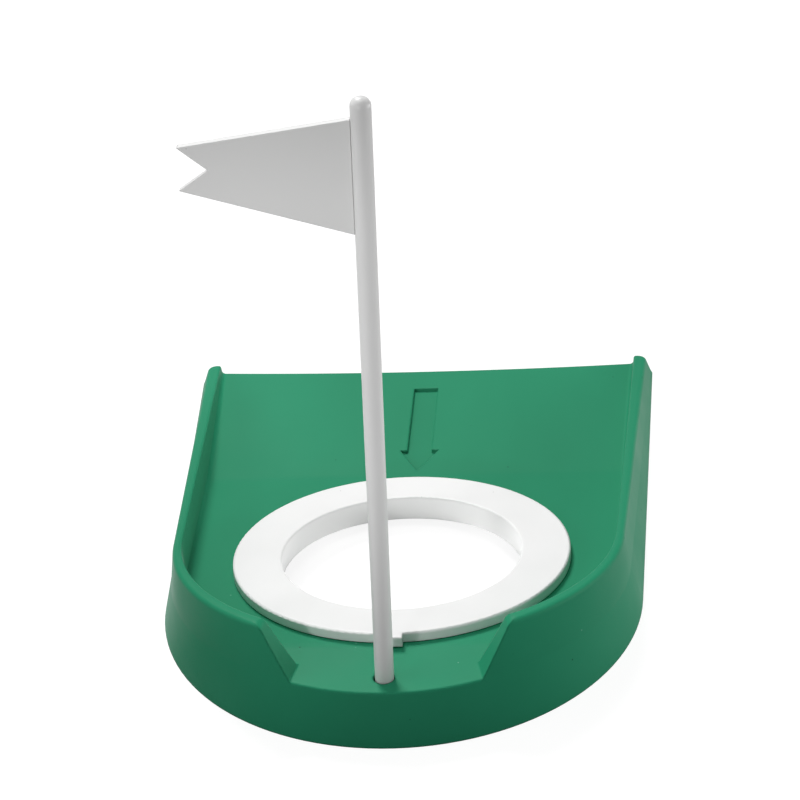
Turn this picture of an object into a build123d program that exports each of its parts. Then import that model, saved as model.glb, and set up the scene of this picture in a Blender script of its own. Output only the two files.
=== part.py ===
from build123d import *
import os
from math import acos, atan2, cos, degrees, hypot, radians, sin, tan

os.makedirs("parts", exist_ok=True)

# All lengths in millimetres. +Y runs from the cup toward the low entry edge of the ramp,
# +Z is up, and the origin is the middle of the footprint, on the floor.

# Footprint of the base: a half-round end at the rear, nearly parallel sides, a bowed entry edge.
entry_y = 119.6
round_end_y = -34.8
foot_radius = 85.1
foot_half_width = 88.6
entry_corner = 3.5
entry_bow = 2.8

# Deck profile, from the entry edge up the ramp to the cup seat and the level rear ledge.
entry_height = 3.0
ramp_top_y = 39.5
ramp_top_height = 4.6
seat_tilt = 7.0
ledge_height = 20.3
deck_thickness = 2.4
deck_bend_radius = 25.0

# Side wall. Its crest lies in a sloping plane, lowest at the entry edge.
crest_entry_height = 6.6
crest_tilt = 8.2
crest_entry_inset = 2.6
crest_round_inset = 5.8
crest_outer_round = 1.6
crest_inner_round = 0.8
shell_wall = 2.4
wall_foot_round = 1.4
ledge_edge_round = 0.8

# Bend in the outer face of the wall, along a sloping line near the level of the deck.
bend_entry_height = 1.2
bend_tilt = 5.0
bend_entry_inset = 0.6
bend_round_inset = 3.8

# Lane between the walls: its outline above the crest and its outline under the deck.
lane_top_rise = 4.0
lane_top_end_y = -33.3
lane_top_radius = 76.7
lane_top_half_width = 82.0
lane_floor_drop = 2.0
lane_floor_tilt = 4.4
lane_floor_end_y = -29.9
lane_floor_radius = 76.2
lane_floor_half_width = 80.4
lane_reach = 30.0

# Gap in the rear wall, behind the flagstick. Its ends splay outward.
gap_half_width_low = 30.4
gap_half_width_high = 41.8
gap_top_height = 37.95
gap_front_y = -80.0
gap_measured_y = -100.0
gap_splay = 0.22
gap_shoulder_round = 4.0

# Cup hole and the collar that hangs below it.
cup_y = -28.5
cup_hole_diameter = 108.0
collar_wall = 2.2
collar_floor_gap = 0.8

# Hollow underside and the ribs in it.
hollow_front_y = 92.0
hollow_foot_drop = 0.5
rib_thickness = 2.0
rib_floor_gap = 1.5
rib_rows = (-28.5, 45.0, 68.0)
rib_bearings = (35, 145)

# White ring that drops into the cup hole and narrows it.
ring_gap = 0.3
ring_outer_diameter = 120.0
ring_inner_diameter = 85.2
ring_flange = 3.6
ring_depth = 8.7
ring_sleeve_wall = 2.2
ring_rib_diameter = 107.2
ring_rib_wall = 2.0
ring_rib_depth = 2.6
ring_edge_round = 0.7
tab_width = 9.0
tab_reach = 3.0

# Flagstick, its socket and the pennant.
stick_x = -0.8
stick_y = -107.4
stick_foot_diameter = 6.4
stick_taper = 0.04
stick_lean = 2.0
stick_above_ledge = 216.7
stick_foot_gap = 0.4
stick_foot_chamfer = 0.5
stick_dome_flat = 0.7
socket_diameter = 7.4
socket_depth = 13.0
socket_boss_diameter = 13.0
pennant_turn = 4.0
pennant_thickness = 2.2
pennant_root_gap = 0.05
pennant_root_low = 169.0
pennant_root_high = 210.1
pennant_tip_low = 182.9
pennant_tip_high = 197.8
pennant_length = 57.4
pennant_cut = 9.5

# Arrow sunk into the ramp, pointing at the cup.
arrow_x = 0.7
arrow_tail_y = 103.1
arrow_neck_y = 57.5
arrow_tip_y = 43.2
arrow_half_width = 4.6
arrow_head_half_width = 7.3
arrow_depth = 1.2

# Cutting and joining blocks reach at least this far past the base.
past_front_y = 150.0
past_rear_y = -135.0
past_side = 110.0
past_top = 70.0
past_bottom = -30.0

# Edges are picked for rounding by where they lie.
near = 0.4
on_plane = 0.02
long_edge = 40.0
lane_foot_x = 40.0
lane_foot_y = -99.0
ledge_rear_y = -110.0

cup_height = ramp_top_height + (ramp_top_y - cup_y) * tan(radians(seat_tilt))
ledge_front_y = ramp_top_y - (ledge_height - ramp_top_height) / tan(radians(seat_tilt))
ramp_slope = (ramp_top_height - entry_height) / (entry_y - ramp_top_y)


def sloped_plane(y, height, tilt):
    # Plane through a line across the base, falling toward the entry edge.
    return Plane(
        origin=(0, y, height),
        x_dir=(1, 0, 0),
        z_dir=(0, sin(radians(tilt)), cos(radians(tilt))),
    )


foot_plane = sloped_plane(entry_y, 0, 0)
bend_plane = sloped_plane(entry_y, bend_entry_height, bend_tilt)
crest_plane = sloped_plane(entry_y, crest_entry_height, crest_tilt)
ramp_plane = sloped_plane(entry_y, entry_height, degrees(atan2(ramp_slope, 1)))
seat_plane = sloped_plane(cup_y, cup_height, seat_tilt)
lean = radians(stick_lean)
turn = radians(pennant_turn)
stick_plane = Plane(
    origin=(stick_x, stick_y, ledge_height - socket_depth / 2),
    x_dir=(cos(lean), 0, -sin(lean)),
    z_dir=(sin(lean), 0, cos(lean)),
)
pennant_plane = Plane(
    origin=stick_plane.from_local_coords((0, 0, socket_depth / 2)),
    x_dir=(-cos(turn) * cos(lean), sin(turn), cos(turn) * sin(lean)),
    z_dir=(sin(turn) * cos(lean), cos(turn), -sin(turn) * sin(lean)),
)


def plan_outline(plane_tilt, end_y, radius, half_width, reach=0.0, bow=0.0):
    # Half-round end joined by tangent sides to the entry edge, drawn in a plane whose
    # local origin lies on the entry edge.
    centre = (end_y - entry_y) / cos(radians(plane_tilt))
    bearing = atan2(half_width, -centre) + acos(radius / hypot(half_width, centre))
    tangent_x = radius * sin(bearing)
    tangent_y = centre + radius * cos(bearing)
    side_slope = (half_width - tangent_x) / -tangent_y
    end_x = half_width + side_slope * reach
    Line((tangent_x, tangent_y), (end_x, reach))
    if bow > 0:
        ThreePointArc((end_x, reach), (0, reach - bow), (-end_x, reach))
    else:
        Line((end_x, reach), (-end_x, reach))
    Line((-end_x, reach), (-tangent_x, tangent_y))
    ThreePointArc((-tangent_x, tangent_y), (0, centre - radius), (tangent_x, tangent_y))


def deck_profile(drop, front_y, limit_z):
    # Closed outline in the YZ plane, between the deck line and a level limit.
    front_z = entry_height - drop + ramp_slope * (entry_y - front_y)
    rear_z = ledge_height - drop
    FilletPolyline(
        (front_y, front_z),
        (ramp_top_y, ramp_top_height - drop),
        (ledge_front_y, rear_z),
        (past_rear_y, rear_z),
        radius=deck_bend_radius,
    )
    Polyline((past_rear_y, rear_z), (past_rear_y, limit_z), (front_y, limit_z), (front_y, front_z))


def gap_outline(spread):
    # Opening between the slanted gap ends, and the clear space above the crest.
    low = gap_half_width_low + spread
    high = gap_half_width_high + spread
    Polyline(
        (-low, ledge_height),
        (low, ledge_height),
        (high, gap_top_height),
        (past_side, gap_top_height),
        (past_side, past_top),
        (-past_side, past_top),
        (-past_side, gap_top_height),
        (-high, gap_top_height),
        (-low, ledge_height),
    )


def deck_height(y):
    if y > ramp_top_y:
        return entry_height + ramp_slope * (entry_y - y)
    return min(ledge_height, ramp_top_height + (ramp_top_y - y) * tan(radians(seat_tilt)))


def at_wall_foot(edge):
    middle = edge @ 0.5
    beside_lane = abs(middle.X) > lane_foot_x or middle.Y < lane_foot_y
    return beside_lane and abs(middle.Z - deck_height(middle.Y)) < near


def on_crest(edge):
    heights = [crest_plane.to_local_coords(edge @ part).Z for part in (0.0, 0.5, 1.0)]
    return max(abs(height) for height in heights) < on_plane


def at_ledge_rear(edge):
    middle = edge @ 0.5
    return middle.Y < ledge_rear_y and abs(middle.Z - ledge_height) < near


# Solid outer body: footprint, bend line and sloping wall crest joined by straight faces.
with BuildPart() as outer_body:
    for plane, tilt, round_inset, entry_inset in (
        (foot_plane, 0.0, 0.0, 0.0),
        (bend_plane, bend_tilt, bend_round_inset, bend_entry_inset),
        (crest_plane, crest_tilt, crest_round_inset, crest_entry_inset),
    ):
        with BuildSketch(plane) as level_sketch:
            with BuildLine():
                plan_outline(
                    tilt,
                    round_end_y,
                    foot_radius - round_inset,
                    foot_half_width - entry_inset,
                    bow=entry_bow,
                )
            make_face()
            fillet(level_sketch.vertices().group_by(Axis.Y)[-1], entry_corner)
    loft(ruled=True)
    fillet([edge for edge in outer_body.edges() if on_crest(edge)], crest_outer_round)

# Space between the walls, above the deck.
with BuildPart() as lane_space:
    with BuildSketch(crest_plane.offset(lane_top_rise)):
        with BuildLine():
            plan_outline(crest_tilt, lane_top_end_y, lane_top_radius, lane_top_half_width, lane_reach)
        make_face()
    with BuildSketch(sloped_plane(entry_y, -lane_floor_drop, lane_floor_tilt)):
        with BuildLine():
            plan_outline(
                lane_floor_tilt, lane_floor_end_y, lane_floor_radius, lane_floor_half_width, lane_reach
            )
        make_face()
    loft(ruled=True)
    with BuildSketch(Plane.YZ):
        with BuildLine():
            deck_profile(0, past_front_y, past_top)
        make_face()
    extrude(amount=past_side, both=True, mode=Mode.INTERSECT)
    fillet([edge for edge in lane_space.edges() if at_wall_foot(edge)], wall_foot_round)

# Hollow under the deck, one wall thickness inside the outer body.
with BuildPart() as under_space:
    for plane, tilt, round_inset, entry_inset in (
        (foot_plane.offset(-hollow_foot_drop), 0.0, shell_wall, shell_wall),
        (bend_plane, bend_tilt, bend_round_inset + shell_wall, bend_entry_inset + shell_wall),
    ):
        with BuildSketch(plane):
            with BuildLine():
                plan_outline(tilt, round_end_y, foot_radius - round_inset, foot_half_width - entry_inset)
            make_face()
    loft(ruled=True)
    with BuildSketch(Plane.YZ):
        with BuildLine():
            deck_profile(deck_thickness, hollow_front_y, past_bottom)
        make_face()
    extrude(amount=past_side, both=True, mode=Mode.INTERSECT)

# Stiffening ribs, collar and socket boss that stand in the hollow.
with BuildPart() as inner_webs:
    with BuildSketch(Plane.XY.offset(rib_floor_gap)):
        for rib_y in rib_rows:
            with Locations((0, rib_y)):
                Rectangle(2 * past_side, rib_thickness)
        Rectangle(rib_thickness, 2 * past_front_y)
        with Locations((0, cup_y)):
            for bearing in rib_bearings:
                Rectangle(2 * past_front_y, rib_thickness, rotation=bearing)
        with Locations((stick_x, stick_y)):
            Circle(socket_boss_diameter / 2)
    extrude(amount=past_top)
    with BuildSketch(seat_plane):
        Circle(cup_hole_diameter / 2 + collar_wall)
    extrude(amount=past_top, both=True)
    with BuildSketch(Plane.XY.offset(collar_floor_gap)):
        Rectangle(2 * past_side, 2 * past_front_y)
    extrude(amount=-2 * past_top, mode=Mode.SUBTRACT)
    add(under_space.part, mode=Mode.INTERSECT)

# One-piece moulded base.
with BuildPart() as base_shell:
    add(outer_body.part)
    add(lane_space.part, mode=Mode.SUBTRACT)
    long_crest_edges = [edge for edge in base_shell.edges() if on_crest(edge) and edge.length > long_edge]
    fillet(long_crest_edges, crest_inner_round)
    # Gap in the rear wall, with rounded shoulders.
    for y in (gap_front_y, past_rear_y):
        with BuildSketch(Plane.XZ.offset(-y)) as gap_sketch:
            spread = gap_splay * (gap_measured_y - y)
            with BuildLine():
                gap_outline(spread)
            make_face()
            shoulder_x = gap_half_width_high + spread
            shoulders = [spot for spot in gap_sketch.vertices() if abs(abs(spot.X) - shoulder_x) < near]
            fillet(shoulders, gap_shoulder_round)
    loft(ruled=True, mode=Mode.SUBTRACT)
    fillet([edge for edge in base_shell.edges() if at_ledge_rear(edge)], ledge_edge_round)
    # Hollow underside, then the webs inside it.
    add(under_space.part, mode=Mode.SUBTRACT)
    add(inner_webs.part)
    # Cup hole, square to the seat.
    with BuildSketch(seat_plane):
        Circle(cup_hole_diameter / 2)
    extrude(amount=past_top, both=True, mode=Mode.SUBTRACT)
    # Upright socket for the flagstick.
    with BuildSketch(Plane.XY.offset(ledge_height - socket_depth)):
        with Locations((stick_x, stick_y)):
            Circle(socket_diameter / 2)
    extrude(amount=past_top, mode=Mode.SUBTRACT)
    # Sunk arrow.
    with BuildSketch(ramp_plane.offset(-arrow_depth)):
        with BuildLine():
            Polyline(
                (arrow_x - arrow_half_width, arrow_tail_y - entry_y),
                (arrow_x + arrow_half_width, arrow_tail_y - entry_y),
                (arrow_x + arrow_half_width, arrow_neck_y - entry_y),
                (arrow_x + arrow_head_half_width, arrow_neck_y - entry_y),
                (arrow_x, arrow_tip_y - entry_y),
                (arrow_x - arrow_head_half_width, arrow_neck_y - entry_y),
                (arrow_x - arrow_half_width, arrow_neck_y - entry_y),
                (arrow_x - arrow_half_width, arrow_tail_y - entry_y),
            )
        make_face()
    extrude(amount=past_top, mode=Mode.SUBTRACT)
base_shell.part.label = "base_shell"

# Lift-out ring: flange, inner sleeve, locating rib under the flange and a pull tab.
with BuildPart() as hole_ring:
    with BuildSketch(seat_plane.offset(ring_gap)):
        Circle(ring_outer_diameter / 2)
        with Locations((0, -ring_outer_diameter / 2)):
            Rectangle(tab_width, 2 * tab_reach)
        Circle(ring_inner_diameter / 2, mode=Mode.SUBTRACT)
    extrude(amount=ring_flange)
    with BuildSketch(seat_plane.offset(ring_gap + ring_flange - ring_depth)):
        Circle(ring_inner_diameter / 2 + ring_sleeve_wall)
        Circle(ring_inner_diameter / 2, mode=Mode.SUBTRACT)
    extrude(amount=ring_depth - ring_flange)
    with BuildSketch(seat_plane.offset(ring_gap - ring_rib_depth)):
        Circle(ring_rib_diameter / 2)
        Circle(ring_rib_diameter / 2 - ring_rib_wall, mode=Mode.SUBTRACT)
    extrude(amount=ring_rib_depth)
    top_face = hole_ring.faces().sort_by(Axis(seat_plane.origin, seat_plane.z_dir))[-1]
    fillet(top_face.edges(), ring_edge_round)
hole_ring.part.label = "hole_ring"

# Flagstick: slim round rod with a domed top, leaning a little in its upright socket.
with BuildPart() as flagstick:
    foot_offset = stick_foot_gap - socket_depth / 2
    with BuildSketch(stick_plane.offset(foot_offset)):
        Circle(stick_foot_diameter / 2)
    extrude(amount=stick_above_ledge + socket_depth / 2 - foot_offset, taper=-stick_taper)
    ends = flagstick.faces().sort_by(Axis(stick_plane.origin, stick_plane.z_dir))
    chamfer(ends[0].edges(), stick_foot_chamfer)
    fillet(ends[-1].edges(), (stick_foot_diameter - stick_dome_flat) / 2)
flagstick.part.label = "flagstick"

# Swallow-tailed pennant plate, its root hollowed to sit on the stick.
with BuildPart() as pennant:
    with BuildSketch(pennant_plane):
        with BuildLine():
            Polyline(
                (0, pennant_root_low),
                (0, pennant_root_high),
                (pennant_length, pennant_tip_high),
                (pennant_length - pennant_cut, (pennant_tip_low + pennant_tip_high) / 2),
                (pennant_length, pennant_tip_low),
                (0, pennant_root_low),
            )
        make_face()
    extrude(amount=pennant_thickness / 2, both=True)
    with BuildSketch(stick_plane.offset(foot_offset)):
        Circle(stick_foot_diameter / 2 + pennant_root_gap)
    extrude(amount=stick_above_ledge + socket_depth, taper=-stick_taper, mode=Mode.SUBTRACT)
pennant.part.label = "pennant"

for piece in (base_shell, hole_ring, flagstick, pennant):
    export_step(piece.part, "parts/" + piece.part.label + ".step")
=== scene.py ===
import math

import bpy
from mathutils import Matrix, Vector

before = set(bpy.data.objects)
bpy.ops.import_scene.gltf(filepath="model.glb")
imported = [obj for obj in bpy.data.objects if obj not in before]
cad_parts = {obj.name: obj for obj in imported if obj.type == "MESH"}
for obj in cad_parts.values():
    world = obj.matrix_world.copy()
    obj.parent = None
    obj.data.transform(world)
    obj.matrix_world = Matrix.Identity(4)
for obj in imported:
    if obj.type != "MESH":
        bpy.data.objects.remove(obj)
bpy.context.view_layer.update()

# Colours are linear RGB and lengths are metres, in the CAD frame: +Z up, +Y toward the low
# entry edge, origin on the floor under the middle of the base. Lights are in watts.
GREEN_LIGHT = (0.021, 0.262, 0.137)
GREEN_DARK = (0.015, 0.215, 0.108)
GREEN_SPECK = (0.006, 0.090, 0.050)
GREEN_DUST = (0.150, 0.420, 0.300)
WHITE = (0.842, 0.842, 0.838)
WHITE_SHADE = (0.800, 0.802, 0.796)
WHITE_SCUFF = (0.560, 0.570, 0.560)
# The stick and pennant whites are the ring's white plastic made darker. This is painted shade that offsets
# the stronger light on them, not a different plastic.
FLAG_WHITE_WITH_PAINTED_SHADE = (0.735, 0.735, 0.732)
FLAG_MOTTLE_WITH_PAINTED_SHADE = (0.700, 0.702, 0.697)

GREEN_EDGE_ROUND = 0.0012
WHITE_EDGE_ROUND = 0.0005
EDGE_SAMPLES = 6
SKIN_DEPTH = 0.0002
FLOW_DEPTH = 0.002

FLOOR_SIZE = 12.0
FLOOR_GREY = (0.20, 0.20, 0.20)
FLOOR_LIFT = 0.88
ROOM_LIGHT = 0.19

CUP_CENTRE = (0, -0.0285)
BOUNCE_HEIGHT = 0.001
STICK_Y = -0.107
SPOT_BLEND = 0.3
SPOT_SOFTNESS = 0.06

CAMERA_AT = (0.1058, -1.0139, 0.6933)
CAMERA_AIM = (0.0024, -0.0158, 0.0724)
CAMERA_ROLL = math.radians(-4.48)
CAMERA_LENS = 152.13
CAMERA_SENSOR = 36
CAMERA_NEAR = 0.05


# --- Shader building blocks -------------------------------------------------------------


def rgba(colour):
    return (*colour, 1.0)


class Graph:
    """A material's node tree with short calls for the nodes that the plastics share."""

    def __init__(self, name):
        self.material = bpy.data.materials.new(name)
        self.material.use_nodes = True
        self.nodes = self.material.node_tree.nodes
        self.shader = self.nodes["Principled BSDF"]
        self.place = self.nodes.new("ShaderNodeTexCoord").outputs["Object"]

    def link(self, source, target):
        self.material.node_tree.links.new(source, target)

    def noise(self, scale, detail, stretch=None):
        """Soft noise from 0 to 1. The stretch squeezes or lengthens its grain along X, Y and Z."""
        node = self.nodes.new("ShaderNodeTexNoise")
        node.inputs["Scale"].default_value = scale
        node.inputs["Detail"].default_value = detail
        place = self.place
        if stretch:
            mapping = self.nodes.new("ShaderNodeMapping")
            mapping.inputs["Scale"].default_value = stretch
            self.link(place, mapping.inputs["Vector"])
            place = mapping.outputs["Vector"]
        self.link(place, node.inputs["Vector"])
        return node.outputs["Fac"]

    def dots(self, scale, radius, share):
        """Small round dots: 1 inside a dot, 0 elsewhere. Only a share of the cells hold one."""
        cells = self.nodes.new("ShaderNodeTexVoronoi")
        cells.inputs["Scale"].default_value = scale
        self.link(self.place, cells.inputs["Vector"])
        full_radius = 0.6 * radius
        inside = self.mask(cells.outputs["Distance"], radius, full_radius)
        split = self.nodes.new("ShaderNodeSeparateColor")
        self.link(cells.outputs["Color"], split.inputs["Color"])
        full_share = 0.9 * share
        chosen = self.mask(split.outputs["Red"], share, full_share)
        return self.times(inside, chosen)

    def mask(self, source, empty_at, full_at):
        """0 where the source is at empty_at or past it, 1 at full_at or past it, a ramp between."""
        return self.span(source, empty_at, full_at, 0.0, 1.0)

    def span(self, source, from_low, from_high, to_low, to_high):
        """The source's range from_low to from_high, spread over to_low to to_high."""
        node = self.nodes.new("ShaderNodeMapRange")
        node.inputs["From Min"].default_value = from_low
        node.inputs["From Max"].default_value = from_high
        node.inputs["To Min"].default_value = to_low
        node.inputs["To Max"].default_value = to_high
        self.link(source, node.inputs["Value"])
        return node.outputs["Result"]

    def times(self, first, second):
        node = self.nodes.new("ShaderNodeMath")
        node.operation = "MULTIPLY"
        self.link(first, node.inputs[0])
        self.link(second, node.inputs[1])
        return node.outputs["Value"]

    def blend(self, amount, first, second):
        """Colour between first and second, each a fixed colour or a node's output."""
        node = self.nodes.new("ShaderNodeMix")
        node.data_type = "RGBA"
        self.link(amount, node.inputs["Factor"])
        for colour, socket in ((first, node.inputs[6]), (second, node.inputs[7])):
            if isinstance(colour, tuple):
                socket.default_value = rgba(colour)
            else:
                self.link(colour, socket)
        return node.outputs[2]

    def bump(self, height, distance, strength, under):
        """Bumps on top of the normals that come from under."""
        node = self.nodes.new("ShaderNodeBump")
        node.inputs["Distance"].default_value = distance
        node.inputs["Strength"].default_value = strength
        self.link(height, node.inputs["Height"])
        self.link(under, node.inputs["Normal"])
        return node.outputs["Normal"]

    def soft_edges(self, radius):
        """Normals that turn gently over edges, as a mould leaves them."""
        node = self.nodes.new("ShaderNodeBevel")
        node.samples = EDGE_SAMPLES
        node.inputs["Radius"].default_value = radius
        return node.outputs["Normal"]

    def finish(self, colour, roughness, normal):
        self.link(colour, self.shader.inputs["Base Color"])
        self.link(roughness, self.shader.inputs["Roughness"])
        self.link(normal, self.shader.inputs["Normal"])
        return self.material


# --- Materials --------------------------------------------------------------------------


def green_plastic():
    """Satin moulded plastic: faint flow marks, a fine skin, and a few dark and pale specks."""
    graph = Graph("green_plastic")
    graph.shader.inputs["Specular IOR Level"].default_value = 0.08
    graph.shader.inputs["Sheen Weight"].default_value = 0.12
    graph.shader.inputs["Sheen Roughness"].default_value = 0.20

    flow = graph.noise(scale=9.0, detail=4.0, stretch=(1.0, 0.35, 1.0))
    colour = graph.blend(graph.mask(flow, 0.35, 0.65), GREEN_DARK, GREEN_LIGHT)
    dark_specks = graph.dots(scale=260.0, radius=0.10, share=0.06)
    colour = graph.blend(dark_specks, colour, GREEN_SPECK)
    pale_specks = graph.dots(scale=170.0, radius=0.06, share=0.05)
    colour = graph.blend(pale_specks, colour, GREEN_DUST)

    wear = graph.noise(scale=35.0, detail=3.0)
    roughness = graph.span(wear, 0.3, 0.7, 0.44, 0.54)

    grain = graph.noise(scale=1400.0, detail=2.0)
    skin = graph.bump(grain, SKIN_DEPTH, 0.10, graph.soft_edges(GREEN_EDGE_ROUND))
    normal = graph.bump(flow, FLOW_DEPTH, 0.05, skin)
    return graph.finish(colour, roughness, normal)


def white_plastic(name, light, shade, stretch=None):
    """Slightly warm white plastic with soft shading marks and sparse grey scuffs."""
    graph = Graph(name)
    graph.shader.inputs["Specular IOR Level"].default_value = 0.45

    cloud = graph.noise(scale=16.0, detail=4.0, stretch=stretch)
    colour = graph.blend(graph.mask(cloud, 0.3, 0.7), shade, light)
    scuffs = graph.dots(scale=230.0, radius=0.07, share=0.05)
    colour = graph.blend(scuffs, colour, WHITE_SCUFF)

    wear = graph.noise(scale=60.0, detail=3.0)
    roughness = graph.span(wear, 0.3, 0.7, 0.36, 0.46)

    grain = graph.noise(scale=1100.0, detail=2.0)
    skin = graph.bump(grain, SKIN_DEPTH, 0.08, graph.soft_edges(WHITE_EDGE_ROUND))
    return graph.finish(colour, roughness, skin)


# --- Pieces -----------------------------------------------------------------------------


def paint(node, material):
    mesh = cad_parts[node].data
    mesh.materials.clear()
    mesh.materials.append(material)


paint("base_shell", green_plastic())
paint("hole_ring", white_plastic("ring_plastic", WHITE, WHITE_SHADE))
# Painted shade: the stick and pennant get the ring's white plastic darkened, to offset the stronger light
# that falls on them.
stick_white_painted_shade = white_plastic("stick_plastic", FLAG_WHITE_WITH_PAINTED_SHADE, FLAG_MOTTLE_WITH_PAINTED_SHADE, (1.0, 1.0, 0.12))
paint("flagstick", stick_white_painted_shade)
pennant_white_painted_shade = white_plastic("pennant_plastic", FLAG_WHITE_WITH_PAINTED_SHADE, FLAG_MOTTLE_WITH_PAINTED_SHADE, (0.4, 1.0, 1.0))
paint("pennant", pennant_white_painted_shade)


# --- Floor ------------------------------------------------------------------------------


def floor_material():
    """Pale diffuse floor. The camera and reflections see it lifted toward white, so shadows stay faint."""
    material = bpy.data.materials.new("floor")
    material.use_nodes = True
    nodes, links = material.node_tree.nodes, material.node_tree.links
    nodes.remove(nodes["Principled BSDF"])

    matt = nodes.new("ShaderNodeBsdfDiffuse")
    matt.inputs["Color"].default_value = rgba(FLOOR_GREY)
    lift = nodes.new("ShaderNodeEmission")
    lift.inputs["Strength"].default_value = FLOOR_LIFT
    lifted = nodes.new("ShaderNodeAddShader")
    links.new(matt.outputs[0], lifted.inputs[0])
    links.new(lift.outputs[0], lifted.inputs[1])

    path = nodes.new("ShaderNodeLightPath")
    seen_or_mirrored = nodes.new("ShaderNodeMath")
    seen_or_mirrored.operation = "MAXIMUM"
    links.new(path.outputs["Is Camera Ray"], seen_or_mirrored.inputs[0])
    links.new(path.outputs["Is Glossy Ray"], seen_or_mirrored.inputs[1])

    choose = nodes.new("ShaderNodeMixShader")
    links.new(seen_or_mirrored.outputs[0], choose.inputs[0])
    links.new(matt.outputs[0], choose.inputs[1])
    links.new(lifted.outputs[0], choose.inputs[2])
    links.new(choose.outputs[0], nodes["Material Output"].inputs["Surface"])
    return material


def lay_floor():
    half = FLOOR_SIZE / 2
    corners = [(-half, -half, 0), (half, -half, 0), (half, half, 0), (-half, half, 0)]
    mesh = bpy.data.meshes.new("floor")
    mesh.from_pydata(corners, [], [(0, 1, 2, 3)])
    mesh.materials.append(floor_material())
    floor = bpy.data.objects.new("floor", mesh)
    bpy.context.collection.objects.link(floor)


lay_floor()


# --- Lights -----------------------------------------------------------------------------


def place_lamp(data, location, target):
    lamp = bpy.data.objects.new(data.name, data)
    lamp.location = location
    lamp.rotation_euler = (Vector(target) - Vector(location)).to_track_quat("-Z", "Y").to_euler()
    lamp.visible_camera = False
    bpy.context.collection.objects.link(lamp)


def area_light(name, location, target, size, power):
    data = bpy.data.lights.new(name, "AREA")
    data.shape = "RECTANGLE"
    data.size, data.size_y = size
    data.energy = power
    place_lamp(data, location, target)


def spot_light(name, location, target, angle, power):
    """A soft-edged cone of light, narrow enough to leave most of the base alone."""
    data = bpy.data.lights.new(name, "SPOT")
    data.spot_size = math.radians(angle)
    data.spot_blend = SPOT_BLEND
    data.shadow_soft_size = SPOT_SOFTNESS
    data.energy = power
    place_lamp(data, location, target)


def room_light(strength):
    """Even white light from all round."""
    world = bpy.data.worlds.new("studio")
    world.use_nodes = True
    backdrop = world.node_tree.nodes["Background"]
    backdrop.inputs["Color"].default_value = (1, 1, 1, 1)
    backdrop.inputs["Strength"].default_value = strength
    bpy.context.scene.world = world


room_light(ROOM_LIGHT)

# The key stands behind the object and to its left, so short shadows fall toward the camera.
area_light("key_behind", (-0.53, 1.37, 1.81), (0, 0, 0), (0.66, 0.66), 40.0)
area_light("overhead", (0, -0.05, 2.40), (0, 0, 0), (1.0, 1.0), 13.0)
area_light("left_side", (-1.0, -0.25, 0.45), (0, -0.05, 0.08), (0.8, 0.5), 2.8)
area_light("right_side", (1.0, 0.10, 0.13), (0.05, 0, 0.02), (0.8, 0.2), 4.8)

# Light that a white floor under the hole throws back up at the ring's sleeve.
area_light("hole_bounce", (*CUP_CENTRE, BOUNCE_HEIGHT), (*CUP_CENTRE, 1), (0.07, 0.07), 0.016)

# The pennant and stick face the camera, so a fill from the front and a rim from behind shape them.
spot_light("flag_fill", (-0.34, -1.15, 0.34), (-0.02, STICK_Y, 0.150), 12.2, 24.0)
spot_light("stick_rim", (0.70, 0.50, 0.35), (0.0, STICK_Y, 0.12), 8.0, 12.0)


# --- Camera -----------------------------------------------------------------------------


def set_camera():
    data = bpy.data.cameras.new("camera")
    data.lens = CAMERA_LENS
    data.sensor_width = CAMERA_SENSOR
    data.clip_start = CAMERA_NEAR
    camera = bpy.data.objects.new("camera", data)
    bpy.context.collection.objects.link(camera)
    view = (Vector(CAMERA_AIM) - Vector(CAMERA_AT)).to_track_quat("-Z", "Y").to_matrix().to_4x4()
    roll = Matrix.Rotation(CAMERA_ROLL, 4, "Z")
    camera.matrix_world = Matrix.Translation(CAMERA_AT) @ view @ roll
    bpy.context.scene.camera = camera
    bpy.context.scene.view_settings.view_transform = "Standard"


set_camera()
